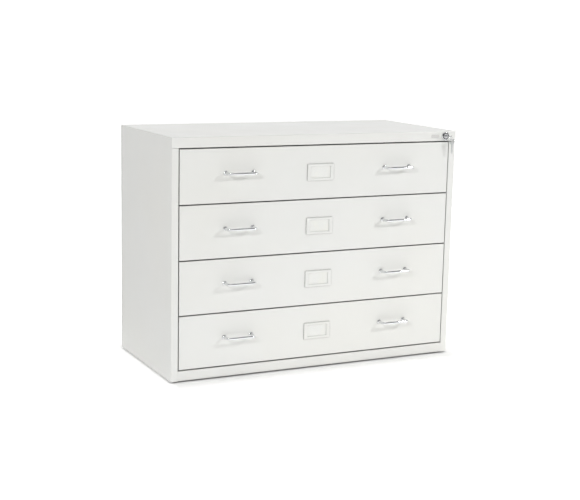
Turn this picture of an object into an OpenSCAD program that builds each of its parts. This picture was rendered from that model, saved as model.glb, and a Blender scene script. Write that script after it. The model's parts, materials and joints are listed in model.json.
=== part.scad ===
// Steel flat file cabinet with four drawers on roller runners and one lock for all of them.
// Millimetres, +Z up. The front faces -Y, and the origin is under the middle of the whole object.

/* [Cabinet] */
// Width over the side panels
cabinet_w = 914; // [840:1:1060]
// Depth from the front frame to the back panel
cabinet_d = 420; // [420:1:600]
// Height of the folded body, without its glides
body_h = 686; // [680:1:700]
// Width of the front frame's left and right stiles
stile_w = 21.5; // [21.5:0.5:23]
// Thickness of the cabinet's sheet steel
sheet = 1.2; // [1:0.1:1.4]
// Radius of the cabinet's folds, at the middle of the sheet
fold_r = 2; // [1.5:0.1:2.5]
// Depth of the frame's folded returns behind the front
return_d = 14; // [10:1:14]
// Height of the glides under the body
glide_h = 4; // [3:0.5:8]

/* [Drawers] */
// Height from one drawer to the next
drawer_pitch = 156; // [154:0.5:157]
// Gap above and below each drawer front
drawer_gap = 3; // [2:0.5:4]
// Gap at each side of a drawer front
side_gap = 2; // [1.5:0.25:2.5]
// Depth of the folded, double-skinned drawer front
front_d = 16; // [14:0.5:16]
// Height of the tray's walls
tray_h = 106; // [80:1:106]
// Height of the tray's floor above the lower edge of the drawer front
tray_lift = 8; // [6:1:9]
// Thickness of the tray's sheet steel
tray_sheet = 1; // [0.8:0.1:1.2]
// Travel of a drawer from closed to its stop
drawer_travel = 320; // [200:1:325]

/* [Rollers] */
// Diameter of the nylon rollers
roller_d = 18; // [16:0.5:18]
// Width of the nylon rollers
roller_w = 7; // [6:0.5:7]
// Diameter of the studs that the rollers turn on
stud_d = 5; // [4:0.5:6]

/* [Handles] */
// Distance between the two feet of a handle
handle_span = 84; // [76:1:96]
// Distance from the drawer front to the outside of the handle's bar
handle_out = 32; // [28:0.5:36]
// Diameter of the handle's bar
bar_d = 8; // [6:0.5:9]
// Radius of the bends between the bar and its posts, at the middle of the bar
bend_r = 8; // [6:0.5:10]
// Distance of each handle from the middle of the drawer
handle_x = 254; // [150:1:300]
// Height of the handles above the middle of the drawer front
handle_lift = 7; // [0:0.5:20]

/* [Label holders] */
// Width of the label holder's frame
holder_w = 85; // [70:1:100]
// Height of the label holder's frame
holder_h = 48; // [40:1:60]
// Distance that the frame stands out
holder_out = 3; // [2:0.5:4]
// Width of the frame's left and right borders
holder_side = 11.5; // [8:0.5:14]
// Width of the frame's upper and lower borders
holder_edge = 7.5; // [5:0.5:9]

/* [Lock] */
// Distance of the lock from the middle of the cabinet
lock_x = 421.5; // [420:0.5:422]
// Diameter of the lock's face
lock_face_d = 24.6; // [22:0.2:25]
// Diameter of the turning plug
plug_d = 15; // [13:0.5:15]
// Distance from the plug's middle to the cam's driving pin
cam_r = 8; // [7:0.25:8]
// Diameter of the cam's driving pin
cam_pin_d = 4; // [3:0.5:4]
// Thickness of the lock bar
bar_sheet = 2.5; // [2:0.25:2.5]

/* [Keys] */
// Thickness of a key
key_sheet = 1.8; // [1.5:0.1:2]
// Width of a key's bow
bow_w = 25; // [24:0.5:25]
// Length of a key's bow
bow_l = 16; // [15:0.5:18]
// Length of a key's blade
blade_l = 28; // [24:0.5:28]
// Width of a key's blade
blade_w = 7.6; // [7:0.2:8]
// Radius of the key ring, at the middle of its wire
ring_r = 7; // [6.8:0.1:7.2]
// Diameter of the key ring's wire
wire_d = 1.2; // [1:0.1:1.2]

/* [Hidden] */
$fn = 48;
DRAWERS = [1:4];
PIECES_OF_A_DRAWER = [
    "drawer_front", "drawer_tray", "drawer_runners", "lock_catch", "handles", "handle_screws",
    "label_holder", "label_card", "front_rollers", "rear_rollers"
];

PAINT = [0.90, 0.91, 0.89];
ZINC = [0.74, 0.76, 0.78];
CHROME = [0.82, 0.83, 0.85];
NYLON = [0.93, 0.92, 0.88];
PLASTIC = [0.25, 0.25, 0.27];
CARD = [0.97, 0.97, 0.95];

// Clearance between parts that slide past each other
slide_gap = 0.3;
// Radial clearance of a part that turns on a stud or in a bore
running_gap = 0.05;

// The front frame's plane, placed so that the handles count in the depth
front_y = -(cabinet_d - handle_out) / 2;
base_z = glide_h;
top_z = glide_h + body_h;
side_x = cabinet_w / 2;
inner_x = side_x - sheet;
stile_x = side_x - stile_w;
opening_h = 4 * drawer_pitch + drawer_gap;
rail_h = (body_h - opening_h) / 2;
opening_z0 = base_z + rail_h;
opening_z1 = top_z - rail_h;
// Gap between the stiles and the front rail above them
seam = 0.5;

// Glides
glide_d = 24;
glide_stem_d = 6;
glide_x = side_x - 17;
glide_ys = [40, cabinet_d - 40];

// Drawer fronts
front_w = 2 * (stile_x - side_gap);
front_h = drawer_pitch - drawer_gap;
front_edge_r = 1.6;
screw_d = 4;
screw_hole_d = 4.5;
driver_hole_d = 13;

// Runners, from the tray outwards
tray_x = stile_x - 14.5;
runner_sheet = 1.2;
runner_lift = 30;
web_x = stile_x - 0.3;
channel_flange = 10;
channel_inner = roller_d / 2 + slide_gap;
channel_outer = channel_inner + runner_sheet;
channel_y0 = front_d + 1;
channel_y1 = cabinet_d - 8;
front_roller_y = front_d + 2 + roller_d / 2;
front_roller_lift = 2.1;
upper_flange_y = front_roller_y + roller_d / 2 + 2;
stop_tab_h = 5.3;
stop_tab_dz = channel_inner - stop_tab_h;
stop_tab_reach = sqrt(pow(roller_d / 2, 2) - pow(stop_tab_dz, 2)) + 0.24;
front_stop_y = upper_flange_y + runner_sheet;
rear_roller_y = front_stop_y + stop_tab_reach + drawer_travel;
carrier_z0 = front_roller_lift + roller_d / 2 + slide_gap;
carrier_flange = 12;
carrier_y1 = rear_roller_y + 26;
tray_y1 = cabinet_d - 20;
roller_x0 = web_x - 2 - roller_w;
rear_roller_x0 = web_x - 1.8 - roller_w;
stud_head_d = 8;

// Posts that carry the cabinet's runners
post_w = 30;
post_ys = [50, cabinet_d - 75];
post_z1 = opening_z1 - 5;

// Handles
handle_feet = [for (x = [-handle_x, handle_x]) for (foot = [-1, 1]) x + foot * handle_span / 2];
post_x = handle_span / 2;
bar_reach = handle_out - bar_d / 2;
bend_lap = 1.5;
foot_d = 12;
foot_out = 2;

// Label cards
card_t = 0.4;
pocket_d = 1;

// Lock, with the unlocked position at rest
lock_z = top_z - rail_h / 2;
barrel_d = 19;
barrel_l = 24;
face_out = 3;
plug_out = 3.6;
plug_l = 26;
tail = 6;
cam_y = plug_l + 0.5;
cam_sheet = 2;
bar_y = cam_y + cam_sheet + 1;
bar_x0 = stile_x + 2.5;
bar_x1 = bar_x0 + 12;
cam_swing = 90;
pin_dx = cam_r * cos(cam_swing / 2);
pin_dz = cam_r * sin(cam_swing / 2);
fork_z = lock_z - pin_dz;
slot_half = cam_pin_d / 2 + 0.6;
prong = 3;
finger_z = 46;
finger_h = 6;
finger_x0 = tray_x + 4.5;
catch_z = finger_z + finger_h + 2;
catch_h = 12;
catch_y = bar_y + bar_sheet + 1;
guide_zs = [
    drawer_z(4) + front_h * 0.7,
    drawer_z(2) + front_h * 0.9
];

// Keys: the inserted key's bow lies flat, and the ring hangs in one end of its slot
bow_y = 6;
bow_slot_w = 4.6;
bow_rim = 2;
outer_rim = 2.7;
slot_end = bow_w / 2 - bow_rim - bow_slot_w / 2;
slot_y = bow_y + bow_l - outer_rim - bow_slot_w / 2;
ring_half_chord = 5.5;
ring_x = lock_x + slot_end + ring_half_chord;
ring_z = lock_z - sqrt(pow(ring_r, 2) - pow(ring_half_chord, 2));
spare_top_z = ring_z - ring_r + wire_d / 2 + 0.2 + outer_rim;

function drawer_z(n) = opening_z1 - drawer_gap - front_h - (n - 1) * drawer_pitch;
function runner_z(n) = drawer_z(n) + runner_lift;
function handle_z(n) = drawer_z(n) + front_h / 2 + handle_lift;

// ---- Shared shapes ----

module seat() {
    translate([0, front_y, 0]) children();
}

module block(low, high) {
    translate(low) cube(high - low);
}

module along_x(x0, x1) {
    translate([x0, 0, 0]) rotate([90, 0, 90]) linear_extrude(x1 - x0) children();
}

module along_y(y0, y1) {
    translate([0, y1, 0]) rotate([90, 0, 0]) linear_extrude(y1 - y0) children();
}

module along_z(z0, z1) {
    translate([0, 0, z0]) linear_extrude(z1 - z0) children();
}

// A round bar along X
module rod_x(d, x0, x1, y, z) {
    translate([x0, y, z]) rotate([0, 90, 0]) cylinder(d = d, h = x1 - x0);
}

// A round bar along Y
module rod_y(d, y0, y1, x, z) {
    translate([x, y1, z]) rotate([90, 0, 0]) cylinder(d = d, h = y1 - y0);
}

module on_side(side) {
    if (side > 0) children();
    else mirror([1, 0, 0]) children();
}

module both_sides() {
    for (side = [-1, 1]) on_side(side) children();
}

// Folded sheet: the outline of a strip of even thickness along a path, with a round fold at each corner
function unit(v) = v / norm(v);
function left_of(v) = [-v[1], v[0]];
function fold(a, b, c, offset, r, steps) =
    let (
        d1 = unit(b - a),
        d2 = unit(c - b),
        turn = atan2(d1[0] * d2[1] - d1[1] * d2[0], d1 * d2),
        way = sign(turn),
        centre = b - d1 * r * tan(abs(turn) / 2) + left_of(d1) * way * r,
        out = -left_of(d1) * way,
        start = atan2(out[1], out[0])
    )
    [for (i = [0:steps])
        centre + (r - way * offset) * [cos(start + turn * i / steps), sin(start + turn * i / steps)]];
function strip_edge(path, offset, r, steps) =
    let (last = len(path) - 1)
    concat(
        [path[0] + left_of(unit(path[1] - path[0])) * offset],
        [for (i = [1:1:last - 1]) each fold(path[i - 1], path[i], path[i + 1], offset, r, steps)],
        [path[last] + left_of(unit(path[last] - path[last - 1])) * offset]
    );
function reversed(list) = [for (i = [len(list) - 1:-1:0]) list[i]];
module strip(path, thickness, r) {
    steps = 5;
    polygon(concat(
        strip_edge(path, thickness / 2, r, steps),
        reversed(strip_edge(path, -thickness / 2, r, steps))
    ));
}

module rounded_square(w, h, r) {
    for (x = [r - w / 2, w / 2 - r]) for (y = [r - h / 2, h / 2 - r]) translate([x, y]) circle(r);
    square([w - 2 * r, h], center = true);
    square([w, h - 2 * r], center = true);
}

// A slab outline from 0 to depth, with its two corners at 0 rounded
module front_outline(depth, length, r) {
    translate([r, -length / 2]) square([depth - r, length]);
    translate([0, r - length / 2]) square([depth, length - 2 * r]);
    for (v = [r - length / 2, length / 2 - r]) translate([r, v]) circle(r);
}

// A plate standing on the plane y = back, with rounded front edges on all four sides
module soft_slab(w, h, y0, y1, r, z) {
    intersection() {
        translate([0, y0, z]) along_x(-w / 2, w / 2) front_outline(y1 - y0, h, r);
        translate([0, y0, z]) along_z(-h / 2, h / 2)
            rotate(90) mirror([0, 1]) front_outline(y1 - y0, w, r);
    }
}

// ---- Cabinet body ----

module side_panel(side) {
    rear = [[side_x - 16, cabinet_d - 1.5 * sheet], [side_x - sheet / 2, cabinet_d - 1.5 * sheet]];
    stile = [[side_x - sheet / 2, sheet / 2], [stile_x, sheet / 2]];
    folded_stile = [
        [side_x - sheet / 2, sheet / 2], [stile_x + sheet / 2, sheet / 2], [stile_x + sheet / 2, return_d]
    ];
    plain_edge = [[side_x - sheet / 2, sheet]];
    glide_flange = 28;
    color(PAINT) seat() on_side(side) difference() {
        union() {
            along_z(base_z, opening_z0) strip(concat(rear, stile), sheet, fold_r);
            along_z(opening_z0, opening_z1 - seam) strip(concat(rear, folded_stile), sheet, fold_r);
            along_z(opening_z1 - seam, top_z - sheet) strip(concat(rear, plain_edge), sheet, fold_r);
            block(
                [inner_x - return_d, 3, top_z - 2 * sheet],
                [inner_x, cabinet_d - 20, top_z - sheet]
            );
            block(
                [inner_x - glide_flange, front_d, base_z],
                [inner_x, cabinet_d - 20, base_z + sheet]
            );
        }
        for (y = glide_ys) translate([glide_x, y, 0]) cylinder(d = glide_stem_d + 0.1, h = 2 * base_z + 2);
    }
}

module top_panel() {
    plate = [[cabinet_d, top_z - sheet / 2], [sheet / 2, top_z - sheet / 2]];
    rail = [[sheet / 2, opening_z1 + sheet / 2], [return_d, opening_z1 + sheet / 2]];
    plain_rail = [[sheet / 2, opening_z1]];
    color(PAINT) seat() difference() {
        union() {
            along_x(-stile_x, stile_x) strip(concat(plate, rail), sheet, fold_r);
            both_sides() along_x(stile_x, side_x) strip(concat(plate, plain_rail), sheet, fold_r);
        }
        rod_y(barrel_d + 0.4, -1, 2 * sheet, lock_x, lock_z);
    }
}

module back_panel() {
    color(PAINT) seat() {
        block([-side_x, cabinet_d - sheet, base_z], [side_x, cabinet_d, top_z - sheet]);
        block(
            [20 - side_x, cabinet_d - 16, top_z - 2 * sheet],
            [side_x - 20, cabinet_d - sheet, top_z - sheet]
        );
    }
}

// The floor has an ear at each front corner that closes the foot of the stile, and notches for the sides' folds
module floor_panel() {
    flange_z = base_z + 8;
    y1 = cabinet_d - 2 * sheet;
    color(PAINT) seat() {
        block([-inner_x, return_d, opening_z0 - sheet], [inner_x, y1 - fold_r, opening_z0]);
        block([fold_r - inner_x, return_d, opening_z0 - sheet], [inner_x - fold_r, y1, opening_z0]);
        both_sides() block([stile_x, sheet, opening_z0 - sheet], [inner_x - fold_r, return_d, opening_z0]);
        both_sides() block([inner_x - sheet, front_d, flange_z], [inner_x, y1 - fold_r, opening_z0]);
        block([fold_r - inner_x, y1 - sheet, flange_z], [inner_x - fold_r, y1, opening_z0]);
    }
}

module bottom_rail() {
    color(PAINT) seat() along_x(-stile_x, stile_x) strip([
        [return_d, opening_z0 - sheet / 2],
        [sheet / 2, opening_z0 - sheet / 2],
        [sheet / 2, base_z + sheet / 2],
        [return_d, base_z + sheet / 2]
    ], sheet, fold_r);
}

// Glides, pressed into the side panels' lower flanges
module glides() {
    color(PLASTIC) seat() both_sides() for (y = glide_ys) translate([glide_x, y, 0]) rotate_extrude()
        polygon([
            [0, 0], [glide_d / 2 - 1.5, 0], [glide_d / 2, 1.5], [glide_d / 2, base_z],
            [glide_stem_d / 2, base_z], [glide_stem_d / 2, base_z + 4], [0, base_z + 5]
        ]);
}

// ---- Cabinet runners ----

module runner_posts() {
    post_x0 = web_x + runner_sheet;
    color(ZINC) seat() both_sides() for (y = post_ys) difference() {
        block([post_x0, y, opening_z0], [inner_x, y + post_w, post_z1]);
        block(
            [post_x0 + runner_sheet, y + runner_sheet, opening_z0 - 1],
            [inner_x + 1, y + post_w - runner_sheet, post_z1 + 1]
        );
    }
}

module cabinet_runner() {
    x1 = web_x + runner_sheet;
    x0 = x1 - runner_sheet - channel_flange;
    tab_x0 = x0 + 2;
    rear_stop_y = rear_roller_y + stop_tab_reach;
    block([web_x, channel_y0, -channel_outer], [x1, channel_y1, channel_outer]);
    block([x0, channel_y0, -channel_outer], [x1, channel_y1, -channel_inner]);
    block([x0, upper_flange_y, channel_inner], [x1, channel_y1, channel_outer]);
    for (y = [upper_flange_y, rear_stop_y]) block(
        [tab_x0, y, -channel_outer],
        [x1, y + runner_sheet, stop_tab_h - channel_inner]
    );
    rod_x(stud_d, roller_x0 - 1, x1, front_roller_y, front_roller_lift);
    rod_x(stud_head_d, roller_x0 - 1.2, roller_x0 - 0.5, front_roller_y, front_roller_lift);
    rod_x(stud_head_d, roller_x0 + roller_w + slide_gap, web_x + 0.1, front_roller_y, front_roller_lift);
}

module cabinet_runners() {
    color(ZINC) seat() both_sides() for (n = DRAWERS) translate([0, 0, runner_z(n)]) cabinet_runner();
}

module roller(x0) {
    rim = 1;
    hub_r = 4;
    rotate([0, 90, 0]) translate([0, 0, x0]) rotate_extrude() polygon([
        [stud_d / 2 + running_gap, 0], [hub_r, 0], [hub_r + 0.6, 0.6], [roller_d / 2 - 2, 0.6],
        [roller_d / 2 - rim, 0], [roller_d / 2, rim], [roller_d / 2, roller_w - rim],
        [roller_d / 2 - rim, roller_w], [roller_d / 2 - 2, roller_w - 0.6], [hub_r + 0.6, roller_w - 0.6],
        [hub_r, roller_w], [stud_d / 2 + running_gap, roller_w]
    ]);
}

module front_rollers(n) {
    color(NYLON) seat() both_sides()
        translate([0, front_roller_y, runner_z(n) + front_roller_lift]) roller(roller_x0);
}

// ---- Drawers ----

module drawer_front(n) {
    mid_z = drawer_z(n) + front_h / 2;
    color(PAINT) seat() difference() {
        soft_slab(front_w, front_h, 0, front_d, front_edge_r, mid_z);
        block(
            [tray_sheet - front_w / 2, tray_sheet, drawer_z(n) + tray_sheet],
            [front_w / 2 - tray_sheet, front_d - tray_sheet, drawer_z(n) + front_h - tray_sheet]
        );
        for (x = handle_feet) {
            rod_y(screw_hole_d, -1, tray_sheet + 1, x, handle_z(n));
            rod_y(driver_hole_d, front_d - tray_sheet - 1, front_d + 1, x, handle_z(n));
        }
    }
}

module drawer_tray(n) {
    half = tray_sheet / 2;
    hem = 6;
    z0 = drawer_z(n) + tray_lift;
    z1 = z0 + tray_h;
    right = [
        [tray_x - half, z0 + half], [tray_x - half, z1 - half], [tray_x - half - hem, z1 - half]
    ];
    left = [for (p = reversed(right)) [-p[0], p[1]]];
    color(PAINT) seat() {
        along_y(front_d, tray_y1) strip(concat(left, right), tray_sheet, 1.5);
        block([-tray_x + half, tray_y1 - tray_sheet, z0 + half], [tray_x - half, tray_y1, z1]);
        block([-tray_x + half, tray_y1 - half - hem, z1 - tray_sheet], [tray_x - half, tray_y1, z1]);
    }
}

module drawer_runner() {
    x1 = tray_x + runner_sheet;
    head_x0 = rear_roller_x0 + roller_w + 0.4;
    block(
        [tray_x, front_d, 3 - channel_outer],
        [x1, carrier_y1, carrier_z0 + runner_sheet]
    );
    block(
        [tray_x, front_d, carrier_z0],
        [tray_x + carrier_flange, carrier_y1, carrier_z0 + runner_sheet]
    );
    rod_x(stud_d, tray_x, head_x0 + 0.2, rear_roller_y, 0);
    rod_x(stud_head_d, x1 - 0.1, rear_roller_x0 - slide_gap, rear_roller_y, 0);
    rod_x(stud_head_d, head_x0, head_x0 + 0.8, rear_roller_y, 0);
}

module drawer_runners(n) {
    color(ZINC) seat() both_sides() translate([0, 0, runner_z(n)]) drawer_runner();
}

module rear_rollers(n) {
    color(NYLON) seat() both_sides() translate([0, rear_roller_y, runner_z(n)]) roller(rear_roller_x0);
}

// Bracket on the right of the tray that the lock bar's finger blocks
module lock_catch(n) {
    ear = 11;
    base_l = 20;
    z0 = drawer_z(n) + catch_z;
    color(ZINC) seat() along_z(z0, z0 + catch_h) strip([
        [tray_x + ear, catch_y + runner_sheet / 2],
        [tray_x + runner_sheet / 2, catch_y + runner_sheet / 2],
        [tray_x + runner_sheet / 2, catch_y + base_l]
    ], runner_sheet, 1.2);
}

// ---- Handles ----

// A wire pull: two straight posts, a bend at the end of each, a straight bar, and a round foot under each post
module handle() {
    difference() {
        union() {
            rod_x(bar_d, bend_r - post_x, post_x - bend_r, -bar_reach, 0);
            both_sides() translate([post_x, 0, 0]) {
                rod_y(bar_d, bend_r - bar_reach, 0, 0, 0);
                translate([-bend_r, bend_r - bar_reach, 0]) rotate([0, 0, -90 - bend_lap])
                    rotate_extrude(angle = 90 + 2 * bend_lap) translate([bend_r, 0])
                        circle(d = bar_d - 0.1);
                rotate([90, 0, 0]) rotate_extrude() polygon([
                    [0, 0], [foot_d / 2, 0], [foot_d / 2, foot_out * 0.45],
                    [foot_d / 2 - 0.8, foot_out * 0.8], [foot_d / 2 - 2, foot_out], [0, foot_out]
                ]);
            }
        }
        for (x = [-post_x, post_x]) rod_y(screw_d + 0.1, -7, 1, x, 0);
    }
}

module handles(n) {
    color(CHROME) seat() for (x = [-handle_x, handle_x]) translate([x, 0, handle_z(n)]) handle();
}

module handle_screws(n) {
    head_h = 2.6;
    color(ZINC) seat() for (x = handle_feet) translate([x, tray_sheet + head_h, handle_z(n)])
        rotate([90, 0, 0]) difference() {
            rotate_extrude() polygon([
                [0, 0], [2.6, 0], [3.7, 0.8], [4, head_h], [screw_d / 2, head_h],
                [screw_d / 2, head_h + tray_sheet + 6.3], [0, head_h + tray_sheet + 6.3]
            ]);
            for (turn = [0, 90]) rotate([0, 0, turn]) cube([4.2, 1, 2.4], center = true);
        }
}

// ---- Label holders ----

module label_holder(n) {
    mid_z = drawer_z(n) + front_h / 2;
    window_w = holder_w - 2 * holder_side;
    window_h = holder_h - 2 * holder_edge;
    pocket_w = window_w + 10;
    color(PAINT) seat() difference() {
        soft_slab(holder_w, holder_h, -holder_out, 0, 1.2, mid_z);
        block([-window_w / 2, -holder_out - 1, mid_z - window_h / 2], [window_w / 2, 1, mid_z + window_h / 2]);
        block([-pocket_w / 2, -pocket_d, mid_z - window_h / 2 - 4], [pocket_w / 2, 1, mid_z + holder_h]);
    }
}

module label_card(n) {
    mid_z = drawer_z(n) + front_h / 2;
    card_w = holder_w - 2 * holder_side + 9;
    window_h = holder_h - 2 * holder_edge;
    y0 = -(pocket_d + card_t) / 2;
    color(CARD) seat() block(
        [-card_w / 2, y0, mid_z - window_h / 2 - 3.8],
        [card_w / 2, y0 + card_t, mid_z + window_h / 2 + 5.5]
    );
}

// ---- Lock ----

module blank_badge() {
    color(ZINC) seat() translate([lock_x - 35.5, 0, lock_z]) along_y(-0.8, 0) rounded_square(26, 7, 1.5);
}

module lock_housing() {
    face_r = lock_face_d / 2;
    bore_r = plug_d / 2 + running_gap;
    color(CHROME) seat() translate([lock_x, 0, lock_z]) rotate([90, 0, 0]) rotate_extrude() polygon([
        [bore_r, -barrel_l], [barrel_d / 2, -barrel_l], [barrel_d / 2, 0], [face_r, 0],
        [face_r, face_out * 0.4], [face_r - 0.8, face_out * 0.85], [face_r - 2, face_out],
        [bore_r + 1.4, face_out], [bore_r + 0.9, face_out - 0.6], [bore_r, face_out - 0.6]
    ]);
}

module lock_nut() {
    nut_l = 5;
    color(ZINC) seat() difference() {
        translate([lock_x, sheet + nut_l, lock_z]) rotate([90, 0, 0]) cylinder(d = 24.6, h = nut_l, $fn = 6);
        rod_y(barrel_d + 0.1, sheet - 1, sheet + nut_l + 1, lock_x, lock_z);
    }
}

module lock_plug() {
    color(CHROME) seat() difference() {
        union() {
            rod_y(plug_d, -plug_out, plug_l, lock_x, lock_z);
            block(
                [lock_x - tail / 2, plug_l - 1, lock_z - tail / 2],
                [lock_x + tail / 2, cam_y + cam_sheet, lock_z + tail / 2]
            );
        }
        block(
            [lock_x - blade_w / 2 - 0.4, -plug_out - 1, lock_z - key_sheet / 2 - slide_gap],
            [lock_x + blade_w / 2 + 0.4, blade_l - bow_y + 1, lock_z + key_sheet / 2 + slide_gap]
        );
        rod_y(3.1, cam_y - 1.5, cam_y + cam_sheet + 1, lock_x, lock_z);
    }
}

module lock_cam() {
    color(ZINC) seat() difference() {
        union() {
            rod_y(13, cam_y, cam_y + cam_sheet, lock_x, lock_z);
            rod_y(8, cam_y, cam_y + cam_sheet, lock_x + pin_dx, lock_z - pin_dz);
            rod_y(cam_pin_d, cam_y, bar_y + bar_sheet + 1, lock_x + pin_dx, lock_z - pin_dz);
        }
        block(
            [lock_x - tail / 2 - 0.05, cam_y - 1, lock_z - tail / 2 - 0.05],
            [lock_x + tail / 2 + 0.05, cam_y + cam_sheet + 0.5, lock_z + tail / 2 + 0.05]
        );
    }
}

module cam_screw() {
    y0 = cam_y + cam_sheet;
    color(ZINC) seat() difference() {
        union() {
            rod_y(3, cam_y - 1, y0, lock_x, lock_z);
            rod_y(8.6, y0, y0 + 0.6, lock_x, lock_z);
            rod_y(6, y0 + 0.5, y0 + 2.4, lock_x, lock_z);
        }
        block([lock_x - 4, y0 + 1.6, lock_z - 0.5], [lock_x + 4, y0 + 3, lock_z + 0.5]);
    }
}

module lock_bar() {
    fork_x0 = lock_x + pin_dx - cam_pin_d / 2 + 1;
    slot_x1 = lock_x + cam_r + cam_pin_d / 2 + 0.6;
    y1 = bar_y + bar_sheet;
    color(ZINC) seat() difference() {
        union() {
            block([bar_x0, bar_y, drawer_z(4) + 25], [bar_x1, y1, fork_z + slot_half + prong]);
            block(
                [fork_x0, bar_y, fork_z - slot_half - prong],
                [bar_x1, y1, fork_z + slot_half + prong]
            );
            for (n = DRAWERS) block(
                [finger_x0, bar_y, drawer_z(n) + finger_z],
                [bar_x1, y1, drawer_z(n) + finger_z + finger_h]
            );
        }
        block([fork_x0 - 1, bar_y - 1, fork_z - slot_half], [slot_x1, y1 + 1, fork_z + slot_half]);
    }
}

module bar_guides() {
    play = 0.6;
    wall = 2;
    guide_h = 14;
    x0 = bar_x0 - play - 0.7;
    color(NYLON) seat() for (z = guide_zs) difference() {
        block([x0, bar_y - wall - play, z], [inner_x, bar_y + bar_sheet + wall + play, z + guide_h]);
        block(
            [bar_x0 - play, bar_y - play, z - 1],
            [bar_x1 + play, bar_y + bar_sheet + play, z + guide_h + 1]
        );
    }
}

// ---- Keys ----

// A key's flat outline: the bow runs up from 0, and the blade runs down from it
module key_outline() {
    cuts = [5, 10, 15, 20];
    difference() {
        union() {
            translate([0, bow_l / 2]) rounded_square(bow_w, bow_l, 6);
            translate([-blade_w / 2, 2 - blade_l]) square([blade_w, blade_l]);
            polygon([[-blade_w / 2, 2 - blade_l], [0, -blade_l], [blade_w / 2, 2 - blade_l]]);
        }
        translate([0, bow_l - outer_rim - bow_slot_w / 2]) {
            square([2 * slot_end, bow_slot_w], center = true);
            for (x = [-slot_end, slot_end]) translate([x, 0]) circle(d = bow_slot_w);
        }
        for (c = cuts) polygon([
            [blade_w / 2 + 0.1, -c + 1.8], [blade_w / 2 - 1.3, -c], [blade_w / 2 + 0.1, -c - 1.8]
        ]);
    }
}

module key() {
    color(CHROME) seat() translate([lock_x, -bow_y, lock_z - key_sheet / 2])
        mirror([0, 1, 0]) linear_extrude(key_sheet) key_outline();
}

module key_ring() {
    color(CHROME) seat() translate([ring_x, -slot_y, ring_z]) rotate([90, 0, 0])
        rotate_extrude() translate([ring_r, 0]) circle(d = wire_d, $fn = 24);
}

module spare_key() {
    color(CHROME) seat() translate([ring_x - key_sheet / 2, -slot_y, spare_top_z - bow_l])
        rotate([90, 0, 90]) linear_extrude(key_sheet) key_outline();
}

// ---- Nodes ----

side_panel(-1);  // side_panel_left
side_panel(1);  // side_panel_right
top_panel();
back_panel();
floor_panel();
bottom_rail();
runner_posts();
cabinet_runners();
bar_guides();
glides();
blank_badge();
lock_housing();
lock_nut();
lock_plug();
lock_cam();
cam_screw();
lock_bar();
key();
key_ring();
spare_key();
for (n = DRAWERS) {
    drawer_front(n);
    drawer_tray(n);
    drawer_runners(n);
    lock_catch(n);
    handles(n);
    handle_screws(n);
    label_holder(n);
    label_card(n);
    front_rollers(n);
    rear_rollers(n);
}
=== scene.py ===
"""Looks of a steel flat file cabinet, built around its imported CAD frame."""

import json
import math

import bmesh
import bpy
from mathutils import Matrix, Vector


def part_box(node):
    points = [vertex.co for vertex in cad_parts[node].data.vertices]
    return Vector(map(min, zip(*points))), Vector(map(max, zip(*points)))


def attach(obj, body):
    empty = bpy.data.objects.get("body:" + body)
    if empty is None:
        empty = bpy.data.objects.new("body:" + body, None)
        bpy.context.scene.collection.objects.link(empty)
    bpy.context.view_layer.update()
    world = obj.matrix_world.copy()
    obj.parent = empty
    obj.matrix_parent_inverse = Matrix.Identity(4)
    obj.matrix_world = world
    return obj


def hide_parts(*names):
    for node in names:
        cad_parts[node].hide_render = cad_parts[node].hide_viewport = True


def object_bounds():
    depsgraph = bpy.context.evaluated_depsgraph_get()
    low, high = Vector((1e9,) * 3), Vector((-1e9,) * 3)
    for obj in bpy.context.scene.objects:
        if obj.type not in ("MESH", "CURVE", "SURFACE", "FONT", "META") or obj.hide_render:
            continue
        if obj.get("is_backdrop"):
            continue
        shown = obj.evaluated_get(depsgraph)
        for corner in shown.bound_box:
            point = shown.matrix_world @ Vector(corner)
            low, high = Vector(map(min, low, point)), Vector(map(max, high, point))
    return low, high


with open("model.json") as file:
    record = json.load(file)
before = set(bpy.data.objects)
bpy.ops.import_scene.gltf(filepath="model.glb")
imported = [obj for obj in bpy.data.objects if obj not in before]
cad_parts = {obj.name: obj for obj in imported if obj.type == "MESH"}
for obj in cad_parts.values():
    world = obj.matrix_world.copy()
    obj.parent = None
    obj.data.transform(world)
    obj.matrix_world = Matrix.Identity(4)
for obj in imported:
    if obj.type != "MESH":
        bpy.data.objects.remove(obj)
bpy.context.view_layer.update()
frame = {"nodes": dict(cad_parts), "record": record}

MM = 0.001
DRAWERS = (1, 2, 3, 4)
RANGE_SOCKETS = ("From Min", "From Max", "To Min", "To Max")
nodes = frame["nodes"]


# ---- Materials ----


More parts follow.
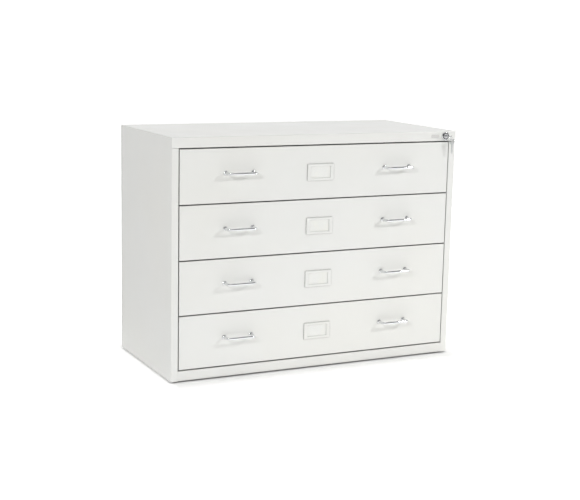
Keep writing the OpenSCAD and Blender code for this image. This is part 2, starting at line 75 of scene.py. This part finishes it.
class Shader:
    """A Principled material and the nodes that feed it, in the coordinates of the object's own frame."""

    def __init__(self, name):
        self.material = bpy.data.materials.new(name)
        self.material.use_nodes = True
        self.tree = self.material.node_tree
        self.tree.nodes.clear()
        self.surface = self.node("ShaderNodeBsdfPrincipled")
        output = self.node("ShaderNodeOutputMaterial")
        self.tree.links.new(self.surface.outputs["BSDF"], output.inputs["Surface"])
        self.place = self.node("ShaderNodeTexCoord").outputs["Object"]

    def node(self, kind, **settings):
        made = self.tree.nodes.new(kind)
        for key, value in settings.items():
            setattr(made, key, value)
        return made

    def feed(self, socket, value):
        """Links an output to a socket, or writes a plain value in it."""
        if isinstance(value, bpy.types.NodeSocket):
            self.tree.links.new(value, socket)
        else:
            socket.default_value = value

    def set(self, **values):
        """Plain values for the surface's own sockets."""
        for key, value in values.items():
            self.surface.inputs[key.replace("_", " ")].default_value = value

    def math(self, operation, a, b=0.0):
        made = self.node("ShaderNodeMath", operation=operation)
        self.feed(made.inputs[0], a)
        self.feed(made.inputs[1], b)
        return made.outputs[0]

    def stretched(self, scale):
        made = self.node("ShaderNodeMapping")
        self.feed(made.inputs["Vector"], self.place)
        made.inputs["Scale"].default_value = scale
        return made.outputs[0]

    def noise(self, scale, detail=3.0, roughness=0.5, along=None):
        """Cloudy noise. Scale is features per metre, and along stretches it."""
        made = self.node("ShaderNodeTexNoise")
        self.feed(made.inputs["Vector"], self.stretched(along) if along else self.place)
        made.inputs["Scale"].default_value = scale
        made.inputs["Detail"].default_value = detail
        made.inputs["Roughness"].default_value = roughness
        return made.outputs["Fac"]

    def cell_colours(self, scale):
        """Cells that each have a colour of their own."""
        made = self.node("ShaderNodeTexVoronoi")
        self.feed(made.inputs["Vector"], self.place)
        made.inputs["Scale"].default_value = scale
        return made.outputs["Color"]

    def remap(self, value, low, high, out_low=0.0, out_high=1.0):
        made = self.node("ShaderNodeMapRange", interpolation_type="SMOOTHSTEP")
        self.feed(made.inputs["Value"], value)
        for key, limit in zip(RANGE_SOCKETS, (low, high, out_low, out_high)):
            self.feed(made.inputs[key], limit)
        return made.outputs["Result"]

    def mix(self, share, a, b):
        made = self.node("ShaderNodeMix", data_type="RGBA")
        self.feed(made.inputs["Factor"], share)
        for socket, value in zip([s for s in made.inputs if s.type == "RGBA"], (a, b)):
            self.feed(socket, (*value, 1.0) if isinstance(value, tuple) else value)
        return next(s for s in made.outputs if s.type == "RGBA")

    def edges(self, radius):
        """1 along sharp edges and 0 on flat faces, and the rounded normal that it comes from."""
        flat, sharp = 0.995, 0.90
        bevel = self.node("ShaderNodeBevel", samples=4)
        bevel.inputs["Radius"].default_value = radius
        dot = self.node("ShaderNodeVectorMath", operation="DOT_PRODUCT")
        self.feed(dot.inputs[0], bevel.outputs["Normal"])
        self.feed(dot.inputs[1], self.node("ShaderNodeNewGeometry").outputs["Normal"])
        return self.remap(dot.outputs["Value"], flat, sharp), bevel.outputs["Normal"]

    def painted_shade_mask(self, reach, open_sky, closed):
        """Painted shade: 1 in corners and grooves, where shade falls, and 0 in the open. Reach is how far a
        wall counts.
        """
        made = self.node("ShaderNodeAmbientOcclusion", samples=6)
        made.inputs["Distance"].default_value = reach
        return self.remap(made.outputs["AO"], open_sky, closed)

    def bump(self, *layers, normal=None):
        """Layers are (height, depth in metres), from the widest to the finest."""
        for height, depth in layers:
            made = self.node("ShaderNodeBump")
            made.inputs["Strength"].default_value = 1.0
            made.inputs["Distance"].default_value = depth
            self.feed(made.inputs["Height"], height)
            if normal is not None:
                self.feed(made.inputs["Normal"], normal)
            normal = made.outputs["Normal"]
        self.feed(self.surface.inputs["Normal"], normal)

    def height_of(self):
        made = self.node("ShaderNodeSeparateXYZ")
        self.feed(made.inputs[0], self.place)
        return made.outputs["Z"]


def enamel(name, base, rough):
    """Baked enamel on sheet steel: orange peel, faint waves in the sheet, thin paint on edges, scuffs low
    down, and shade painted into corners and gaps."""
    s = Shader(name)
    scuff_grey, painted_shade_grey = (0.52, 0.52, 0.50), (0.34, 0.34, 0.33)
    thin = tuple(c * 0.9 for c in base)
    tint = tuple(c * k for c, k in zip(base, (1.0, 0.995, 0.98)))
    edge, rounded = s.edges(0.0016)
    cloud = s.noise(2.6, 4)
    colour = s.mix(s.remap(cloud, 0.35, 0.65), base, tint)
    marks = s.remap(s.noise(38, 5, 0.7, (1, 1, 2.4)), 0.62, 0.75)
    scuff = s.math("MULTIPLY", marks, s.remap(s.height_of(), 0.09, 0.0))
    colour = s.mix(s.math("MULTIPLY", scuff, 0.15), colour, scuff_grey)
    worn = s.math("MULTIPLY", edge, s.remap(s.noise(90, 4, 0.6), 0.45, 0.7))
    colour = s.mix(s.math("MULTIPLY", worn, 0.5), colour, thin)
    # Painted shade: the colour turns grey where nearby walls hide the open sky.
    painted_shade = s.math("MULTIPLY", s.painted_shade_mask(0.007, 0.94, 0.45), 0.9)
    colour = s.mix(painted_shade, colour, painted_shade_grey)
    s.feed(s.surface.inputs["Base Color"], colour)
    smudge = s.remap(s.noise(9, 5, 0.62), 0.3, 0.75, rough - 0.05, rough + 0.07)
    s.feed(s.surface.inputs["Roughness"], s.math("ADD", smudge, s.math("MULTIPLY", scuff, 0.2)))
    s.set(IOR=1.5, Coat_Weight=0.4, Coat_Roughness=0.08)
    s.bump((s.noise(3.2, 1), 0.0006), (s.noise(420, 2), 0.000012), normal=rounded)
    return s.material


def plated(name, base, rough, grain, spangle=0.0):
    """Zinc or satin plate: a fine grain along the sheet, patches of shine, and duller edges."""
    s = Shader(name)
    edge, rounded = s.edges(0.0006)
    dull = tuple(c * 0.82 for c in base)
    warm = tuple(c * k for c, k in zip(base, (1.03, 1.0, 0.93)))
    colour = s.mix(s.remap(s.noise(14, 4), 0.35, 0.7), base, warm)
    if spangle:
        colour = s.mix(spangle, colour, s.cell_colours(220))
    colour = s.mix(s.math("MULTIPLY", edge, 0.6), colour, dull)
    s.feed(s.surface.inputs["Base Color"], colour)
    streak = s.noise(60, 4, 0.6, grain)
    s.feed(s.surface.inputs["Roughness"], s.remap(streak, 0.25, 0.75, rough - 0.06, rough + 0.1))
    s.set(Metallic=1.0)
    s.bump((s.noise(30, 2), 0.00004), (streak, 0.00002), normal=rounded)
    return s.material


def polished(name, base):
    """Bright plate: nearly a mirror, with haze from handling, hairline scratches, and shade painted
    into its corners and grooves.
    """
    s = Shader(name)
    haze = s.remap(s.noise(70, 5, 0.6), 0.4, 0.75)
    scratch = s.remap(s.noise(900, 2, 0.5, (1, 0.06, 0.06)), 0.66, 0.72)
    colour = s.mix(haze, base, tuple(c * 0.94 for c in base))
    # Painted shade: corners and grooves go nearly black where nearby walls hide the open sky.
    colour = s.mix(s.painted_shade_mask(0.005, 0.75, 0.15), colour, (0.06, 0.06, 0.06))
    s.feed(s.surface.inputs["Base Color"], colour)
    shine = s.math("ADD", s.math("MULTIPLY", haze, 0.07), 0.07)
    s.feed(s.surface.inputs["Roughness"], s.math("ADD", shine, s.math("MULTIPLY", scratch, 0.12)))
    s.set(Metallic=1.0)
    s.bump((s.noise(160, 2), 0.000006))
    return s.material


def moulded(name, base, rough, soft=0.0):
    """Moulded plastic: a fine eroded skin, faint flow marks, and edges polished by use."""
    s = Shader(name)
    edge, rounded = s.edges(0.0005)
    light = tuple(min(c * 1.12 + 0.01, 1.0) for c in base)
    colour = s.mix(s.remap(s.noise(55, 4), 0.3, 0.7), base, tuple(c * 0.95 for c in base))
    colour = s.mix(s.math("MULTIPLY", edge, 0.5), colour, light)
    s.feed(s.surface.inputs["Base Color"], colour)
    shine = s.remap(s.noise(130, 4, 0.6), 0.3, 0.7, rough - 0.06, rough + 0.08)
    s.feed(s.surface.inputs["Roughness"], shine)
    if soft:
        s.set(Subsurface_Weight=soft, Subsurface_Radius=(0.002, 0.0018, 0.0014), Subsurface_Scale=0.6)
    s.bump((s.noise(700, 3, 0.6), 0.00002), normal=rounded)
    return s.material


def card_stock(name, base):
    """Card: soft fibres in colour and height."""
    s = Shader(name)
    fibre = s.noise(900, 5, 0.7, (1, 1, 0.35))
    colour = s.mix(s.remap(fibre, 0.3, 0.7), base, tuple(c * 0.93 for c in base))
    aged = tuple(c * k for c, k in zip(base, (1.0, 0.98, 0.93)))
    colour = s.mix(s.math("MULTIPLY", s.remap(s.noise(40, 3), 0.4, 0.8), 0.4), colour, aged)
    s.feed(s.surface.inputs["Base Color"], colour)
    s.feed(s.surface.inputs["Roughness"], s.remap(fibre, 0.3, 0.7, 0.82, 0.95))
    s.set(Specular_IOR_Level=0.25)
    s.bump((fibre, 0.00003))
    return s.material


FINISH = {
    "enamel": enamel("enamel", (0.745, 0.748, 0.728), 0.34),
    "zinc_steel": plated("zinc_steel", (0.66, 0.675, 0.69), 0.36, (1.0, 0.05, 1.0), 0.06),
    "satin_plate": plated("satin_plate", (0.67, 0.675, 0.67), 0.40, (0.05, 1.0, 1.0)),
    "chrome": polished("chrome", (0.79, 0.80, 0.815)),
    "nylon": moulded("nylon", (0.80, 0.79, 0.73), 0.42, soft=0.15),
    "dark_plastic": moulded("dark_plastic", (0.045, 0.045, 0.05), 0.55),
    "card": card_stock("card", (0.80, 0.805, 0.78)),
}
slot_of = {s["node"]: s["material_slot"] for s in frame["record"]["subparts"]}
for name, obj in nodes.items():
    obj.data.materials.clear()
    obj.data.materials.append(FINISH[slot_of[name]])


# ---- Pieces finer than the CAD ----


def around(steps):
    """Angles all the way round, in radians."""
    return [2 * math.pi * k / steps for k in range(steps)]


class Shape:
    """Collects the faces of one piece, in metres, in the frame's own coordinates."""

    def __init__(self):
        self.bm = bmesh.new()

    def ring(self, points):
        return [self.bm.verts.new(p) for p in points]

    def skin(self, rings, closed=False):
        """Faces between each ring of corners and the next."""
        pairs = list(zip(rings, rings[1:]))
        if closed:
            pairs.append((rings[-1], rings[0]))
        for a, b in pairs:
            for i in range(len(a)):
                j = (i + 1) % len(a)
                self.bm.faces.new((a[i], a[j], b[j], b[i]))

    def tube(self, path, radius, up, sides=20, closed=False):
        """A round bar along a path that lies in a plane, with up as that plane's normal."""
        rings = []
        for i, p in enumerate(path):
            before = path[i - 1] if i or closed else p
            after = path[(i + 1) % len(path)] if i + 1 < len(path) or closed else p
            out = up.cross((after - before).normalized())
            points = [p + radius * (math.cos(t) * out + math.sin(t) * up) for t in around(sides)]
            rings.append(self.ring(points))
        self.skin(rings, closed)
        if not closed:
            self.bm.faces.new(rings[0])
            self.bm.faces.new(rings[-1])

    def lathe(self, centre, profile, sides=48, closed=False):
        """Turned about a line along Y. The profile is (radius, distance in front of the centre)."""
        rings = []
        for r, out in profile:
            points = [centre + Vector((r * math.cos(t), -out, r * math.sin(t))) for t in around(sides)]
            rings.append(self.ring(points))
        self.skin(rings, closed)
        if not closed:
            self.bm.faces.new(rings[0])
            self.bm.faces.new(rings[-1])

    def frame(self, centre, loops):
        """A rectangular frame on the plane of the fronts. Each loop is (half width, half height, corner
        radius, distance out)."""
        steps = 5
        rings = []
        for half_w, half_h, corner, out in loops:
            points = []
            for quarter, (sx, sz) in enumerate(((1, 1), (-1, 1), (-1, -1), (1, -1))):
                for k in range(steps + 1):
                    t = math.pi / 2 * (quarter + k / steps)
                    x = sx * (half_w - corner) + corner * math.cos(t)
                    z = sz * (half_h - corner) + corner * math.sin(t)
                    points.append(centre + Vector((x, -out, z)))
            rings.append(self.ring(points))
        self.skin(rings, closed=True)

    def done(self, name, body, slot, *stands_for, sharp=40):
        bmesh.ops.recalc_face_normals(self.bm, faces=self.bm.faces)
        mesh = bpy.data.meshes.new(name)
        self.bm.to_mesh(mesh)
        self.bm.free()
        mesh.shade_smooth()
        mesh.set_sharp_from_angle(angle=math.radians(sharp))
        mesh.materials.append(FINISH[slot])
        obj = bpy.data.objects.new(name, mesh)
        bpy.context.scene.collection.objects.link(obj)
        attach(obj, body)
        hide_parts(*stands_for)


def arc(centre, a, b, start, end, steps):
    """Points of an arc from angle start to end, in degrees. Its axes are a and b, and their lengths are
    its radii."""
    turns = [math.radians(start + (end - start) * k / steps) for k in range(steps + 1)]
    return [centre + math.cos(t) * a + math.sin(t) * b for t in turns]


X, Y, Z = Vector((1, 0, 0)), Vector((0, 1, 0)), Vector((0, 0, 1))
BAR_R, BEND_R, FOOT_R = 4 * MM, 8 * MM, 6 * MM
# (radius, distance out) in mm
FOOT_PROFILE = [(6, 0), (6, 0.7), (5.75, 1.1), (5.3, 1.3), (5.15, 1.45), (5.0, 1.8), (4.5, 2.0)]
FOOT_PROFILE += [(4.1, 2.0), (3.9, 2.0)]


def pulls(n):
    """Both wire pulls of a drawer: a bar bent back to the front at each end, over stepped rosettes."""
    lo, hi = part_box(f"handles_{n}")
    z = (lo.z + hi.z) / 2
    front = hi.y
    bar_y = lo.y + BAR_R
    outer = hi.x - FOOT_R
    half = 42 * MM
    sunk = 1 * MM
    shape = Shape()
    for middle in (half - outer, outer - half):
        corner = Vector((middle, bar_y + BEND_R, z))
        left, right = corner - (half - BEND_R) * X, corner + (half - BEND_R) * X
        path = [Vector((middle - half, front - sunk, z))]
        path += arc(left, BEND_R * X, BEND_R * Y, 180, 270, 8)
        path += arc(right, BEND_R * X, BEND_R * Y, 270, 360, 8)
        path += [Vector((middle + half, front - sunk, z))]
        shape.tube(path, BAR_R, Z)
        for side in (-1, 1):
            foot = Vector((middle + side * half, front, z))
            shape.lathe(foot, [(r * MM, out * MM) for r, out in FOOT_PROFILE], 32)
    shape.done(f"pulls_{n}", f"drawer_{n}", "chrome", f"handles_{n}")


def label_frame(n):
    """A pressed label frame: rounded outside, flat face, and a lip that turns down to the card."""
    lo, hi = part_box(f"label_holder_{n}")
    centre = Vector(((lo.x + hi.x) / 2, hi.y, (lo.z + hi.z) / 2))
    w, h = (hi.x - lo.x) / 2, (hi.z - lo.z) / 2
    holder, window = (w, h), (w - 11.5 * MM, h - 7.5 * MM)
    shoulder = 1.5

    def loop(outline, wider, taller, corner, out):
        """One loop around the holder or its window, from numbers in mm."""
        return outline[0] + wider * MM, outline[1] + taller * MM, corner * MM, out * MM

    loops = [loop(holder, 0, 0, 2.2, 0), loop(holder, 0, 0, 2.2, shoulder)]
    for t in (0.5, 1.0, math.pi / 2):
        inset = (1 - math.cos(t)) * shoulder
        loops.append(loop(holder, -inset, -inset, 2.0, shoulder + shoulder * math.sin(t)))
    loops += [loop(window, 1.6, 1.6, 2.0, 3), loop(window, 0.7, 0.7, 1.5, 2.75)]
    loops += [loop(window, 0.15, 0.15, 1.2, 2.2), loop(window, 0, 0, 1.1, 1.0)]
    loops += [loop(window, 4.8, 3.9, 1.1, 1.0), loop(window, 4.8, 3.9, 1.1, 0)]
    shape = Shape()
    shape.frame(centre, loops)
    shape.done(f"label_frame_{n}", f"drawer_{n}", "enamel", f"label_holder_{n}")


for n in DRAWERS:
    pulls(n)
    label_frame(n)


def lock_face():
    """The lock's rim with its recess around the plug, and the threaded barrel behind it."""
    lo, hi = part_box("lock_housing")
    face = (hi.x - lo.x) / 2
    centre = Vector(((lo.x + hi.x) / 2, lo.y + 3 * MM, (lo.z + hi.z) / 2))
    # (distance in from the edge, distance out) in mm
    rim = [(0, 0), (0, 1.0), (0.2, 1.7), (0.6, 2.3), (1.1, 2.75), (1.6, 3.0), (2.1, 3.0)]
    rim += [(2.35, 2.85), (2.45, 2.5), (2.5, 0.4)]
    profile = [(face - inset * MM, out * MM) for inset, out in rim]
    bore, root, crest, barrel = 7.55 * MM, 8.9 * MM, 9.5 * MM, 24 * MM
    threads = 23
    profile += [(bore + 0.4 * MM, 0.3 * MM), (bore, 0.1 * MM), (bore, -barrel)]
    for k in reversed(range(threads)):
        profile += [(root, -(k + 1.5) * MM), (crest, -(k + 1.1) * MM), (crest, -(k + 0.9) * MM)]
    profile += [(root, -0.4 * MM), (9.2 * MM, 0)]
    shape = Shape()
    shape.lathe(centre, profile, 72, closed=True)
    shape.done("lock_face", "cabinet", "chrome", "lock_housing", sharp=32)


lock_face()


def key_blank(name, node, body, placed):
    """A key cut from sheet: a rounded bow with a slot, a blade with four cuts, and a fine bevel."""
    curve = bpy.data.curves.new(name, "CURVE")
    curve.dimensions = "2D"
    curve.fill_mode = "BOTH"
    curve.resolution_u = 1

    def outline(points):
        line = curve.splines.new("POLY")
        line.points.add(len(points) - 1)
        for point, (x, y) in zip(line.points, points):
            point.co = (x * MM, y * MM, 0, 1)
        line.use_cyclic_u = True

    def corner(x, y, r, start):
        turns = [math.radians(start + 15 * k) for k in range(7)]
        return [(x + r * math.cos(t), y + r * math.sin(t)) for t in turns]

    soft = 0.25
    bow_w, bow_l, bow_r, blade = 12.5 - soft, 16 - soft, 6 - soft, 3.8 - soft
    bow_x, bow_low, bow_high = bow_w - bow_r, soft + bow_r, bow_l - bow_r
    shoulder, tip, valley = -26, -28 + soft * 1.4, blade - 1.2
    edge = [(blade, soft)]
    edge += corner(bow_x, bow_low, bow_r, -90) + corner(bow_x, bow_high, bow_r, 0)
    edge += corner(-bow_x, bow_high, bow_r, 90) + corner(-bow_x, bow_low, bow_r, 180)
    edge += [(-blade, soft), (-blade, shoulder), (0, tip), (blade, shoulder)]
    for cut in (20, 15, 10, 5):
        edge += [(blade, -cut - 1.8), (valley, -cut - 0.3), (valley, -cut + 0.3), (blade, -cut + 1.8)]
    outline(edge)
    slot_x, slot_y, slot_r = 8.2, 11, 2.3 + soft
    ends = ((slot_x, -90), (slot_x, 0), (-slot_x, 90), (-slot_x, 180))
    outline([point for x, start in ends for point in corner(x, slot_y, slot_r, start)])
    curve.extrude = (0.9 - soft) * MM
    curve.bevel_depth = soft * MM
    curve.bevel_resolution = 2
    blank = bpy.data.objects.new(f"{name}_outline", curve)
    mesh = bpy.data.meshes.new_from_object(blank)
    mesh.name = name
    bpy.data.objects.remove(blank)
    mesh.transform(placed)
    mesh.shade_smooth()
    mesh.set_sharp_from_angle(angle=math.radians(35))
    mesh.materials.clear()
    mesh.materials.append(FINISH["chrome"])
    obj = bpy.data.objects.new(name, mesh)
    bpy.context.scene.collection.objects.link(obj)
    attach(obj, body)
    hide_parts(node)


BOW = 16 * MM
KEY_TURN = Matrix(((1, 0, 0, 0), (0, -1, 0, 0), (0, 0, -1, 0), (0, 0, 0, 1)))
SPARE_TURN = Matrix(((0, 0, 1, 0), (1, 0, 0, 0), (0, 1, 0, 0), (0, 0, 0, 1)))

lo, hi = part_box("key")
middle = Matrix.Translation(((lo.x + hi.x) / 2, lo.y + BOW, (lo.z + hi.z) / 2))
key_blank("cut_key", "key", "key", middle @ KEY_TURN)
lo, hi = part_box("spare_key")
middle = Matrix.Translation(((lo.x + hi.x) / 2, (lo.y + hi.y) / 2, hi.z - BOW))
key_blank("cut_spare_key", "spare_key", "spare_key", middle @ SPARE_TURN)


def split_ring():
    """A flat coil of nearly two turns, whose ends lie side by side."""
    lo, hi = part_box("key_ring")
    centre = (lo + hi) / 2
    wire = 0.3 * MM
    radius = (hi.x - lo.x) / 2 - wire
    steps, crossing, first = 60, 10, 0.6
    path = []
    for k in range(2 * steps):
        t = 2 * math.pi * k / steps + first
        side = wire * (-1 + 2 * min(max((k - steps + crossing / 2) / crossing, 0), 1))
        path.append(centre + radius * (math.cos(t) * X + math.sin(t) * Z) + side * Y)
    shape = Shape()
    shape.tube(path, wire, Y, 10)
    shape.done("split_ring", "key_ring", "chrome", "key_ring")


split_ring()


# ---- Studio ----


CAMERA_PLACE = (-1.675, -3.373, 1.011)
# Yaw to the right, pitch down and roll, in degrees
CAMERA_ANGLES = (26.46, 10.41, 1.21)
CAMERA_LENS = 77.9
LIGHTS_AIM = (0.0, -0.2, 0.4)
SIDE_X, FRONT_Y = 0.44, 0.21
FLOOR_GLOW = 0.36


def studio():
    """The camera at the photograph's angle, and two soft lights, in a white room."""
    scene = bpy.context.scene
    scene.view_settings.view_transform = "Standard"
    scene.view_settings.look = "None"

    cam = bpy.data.objects.new("camera", bpy.data.cameras.new("camera"))
    scene.collection.objects.link(cam)
    scene.camera = cam
    yaw, pitch, roll = (math.radians(a) for a in CAMERA_ANGLES)
    ahead = Vector((math.sin(yaw) * math.cos(pitch), math.cos(yaw) * math.cos(pitch), -math.sin(pitch)))
    turned = ahead.to_track_quat("-Z", "Y").to_matrix() @ Matrix.Rotation(roll, 3, "Z")
    cam.matrix_world = Matrix.Translation(CAMERA_PLACE) @ turned.to_4x4()
    cam.data.lens = CAMERA_LENS
    cam.data.sensor_width = 36.0
    cam.data.clip_end = 200.0

    sky()

    def softbox(name, place, size, power):
        light = bpy.data.objects.new(name, bpy.data.lights.new(name, "AREA"))
        scene.collection.objects.link(light)
        light.data.shape = "DISK"
        light.data.size = size
        light.data.energy = power
        light.location = place
        light.rotation_mode = "QUATERNION"
        light.rotation_quaternion = (Vector(LIGHTS_AIM) - Vector(place)).to_track_quat("-Z", "Y")

    softbox("key_right", place=(2.1, -2.15, 1.85), size=0.36, power=30)
    softbox("key_left", place=(-3.2, -2.95, 2.2), size=0.42, power=56)
    floor()
    grey_card()


def sky():
    """The light of a white room: bright walls that fade upwards and are darker on the left and in front,
    and a bright panel overhead. The camera sees plain white."""
    world = bpy.data.worlds.new("studio")
    bpy.context.scene.world = world
    world.use_nodes = True
    tree = world.node_tree
    place = tree.nodes.new("ShaderNodeTexCoord").outputs["Generated"]
    parts = tree.nodes.new("ShaderNodeSeparateXYZ")
    tree.links.new(place, parts.inputs[0])

    def ramp(value, stops):
        made = tree.nodes.new("ShaderNodeMapRange")
        made.interpolation_type = "SMOOTHSTEP"
        tree.links.new(value, made.inputs["Value"])
        for key, limit in zip(RANGE_SOCKETS, stops):
            made.inputs[key].default_value = limit
        return made.outputs["Result"]

    def combined(operation, a, b):
        made = tree.nodes.new("ShaderNodeMath")
        made.operation = operation
        tree.links.new(a, made.inputs[0])
        tree.links.new(b, made.inputs[1])
        return made.outputs[0]

    height = parts.outputs["Z"]
    horizon = ramp(height, (0.02, 0.06, 1.05, 0.79))
    walls = combined("MULTIPLY", horizon, ramp(height, (0.30, 0.85, 1.0, 0.0)))
    left = ramp(parts.outputs["X"], (-1.0, 0.0, 0.50, 1.0))
    behind = ramp(parts.outputs["Y"], (-0.5, 0.4, 0.5, 1.22))
    overhead = ramp(height, (0.80, 0.98, 0.0, 2.45))
    light = combined("ADD", combined("MULTIPLY", combined("MULTIPLY", walls, behind), left), overhead)
    shown = tree.nodes.new("ShaderNodeLightPath").outputs["Is Camera Ray"]
    background = tree.nodes["Background"]
    background.inputs["Color"].default_value = (1.0, 1.0, 0.995, 1.0)
    tree.links.new(combined("MAXIMUM", light, shown), background.inputs["Strength"])


def floor():
    """A white floor that glows except under the cabinet. The glow fades towards the front and the left.
    The camera sees an even glow instead, which leaves only the cabinet's close shadow."""
    bm = bmesh.new()
    bmesh.ops.create_grid(bm, x_segments=1, y_segments=1, size=40.0)
    mesh = bpy.data.meshes.new("floor")
    bm.to_mesh(mesh)
    bm.free()
    obj = bpy.data.objects.new("floor", mesh)
    bpy.context.scene.collection.objects.link(obj)
    pale = Shader("floor")
    tone = pale.mix(pale.noise(3, 3), (0.965, 0.965, 0.96), (0.95, 0.95, 0.945))
    pale.feed(pale.surface.inputs["Base Color"], tone)
    pale.set(Roughness=0.9, Specular_IOR_Level=0.1)
    parts = pale.node("ShaderNodeSeparateXYZ")
    pale.feed(parts.inputs[0], pale.place)
    x, y = parts.outputs["X"], parts.outputs["Y"]
    past_right = pale.math("SUBTRACT", x, SIDE_X)
    past_left = pale.math("MULTIPLY", pale.math("SUBTRACT", -SIDE_X, x), 3.0)
    past_x = pale.math("MAXIMUM", past_right, past_left)
    past_y = pale.math("SUBTRACT", pale.math("ABSOLUTE", y), FRONT_Y)
    away = pale.math("MAXIMUM", past_x, past_y)
    light = pale.remap(away, 1.0, 0.15, 0.30, FLOOR_GLOW)
    for stops in ((y, -2.0, -0.9), (x, -0.65, -0.40, 0.3, 1.0), (away, -0.01, 0.01)):
        light = pale.math("MULTIPLY", light, pale.remap(*stops))
    seen = pale.remap(away, 0.0, 0.10, 0.0, FLOOR_GLOW)
    camera = pale.node("ShaderNodeLightPath").outputs["Is Camera Ray"]
    glow = pale.remap(camera, 0.0, 1.0, light, seen)
    pale.feed(pale.surface.inputs["Emission Strength"], glow)
    pale.surface.inputs["Emission Color"].default_value = (1.0, 1.0, 1.0, 1.0)
    mesh.materials.append(pale.material)
    obj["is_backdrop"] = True


def grey_card():
    """A card hung over and behind the cabinet that only reflections show, so that bright plate has grey
    lines in it."""
    half, near, far, height = 5, -0.6, 5, 2.6
    corners = ((-half, near, height), (half, near, height), (half, far, height), (-half, far, height))
    bm = bmesh.new()
    bm.faces.new([bm.verts.new(corner) for corner in corners])
    mesh = bpy.data.meshes.new("grey_card")
    bm.to_mesh(mesh)
    bm.free()
    obj = bpy.data.objects.new("grey_card", mesh)
    bpy.context.scene.collection.objects.link(obj)
    felt = Shader("grey_card")
    tone = felt.mix(felt.noise(20, 3), (0.62, 0.62, 0.62), (0.66, 0.66, 0.66))
    felt.feed(felt.surface.inputs["Base Color"], tone)
    felt.set(Roughness=0.95, Specular_IOR_Level=0.1)
    mesh.materials.append(felt.material)
    obj.visible_camera = False
    obj.visible_diffuse = False
    obj.visible_shadow = False
    obj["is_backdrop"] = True


studio()

lo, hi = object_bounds()
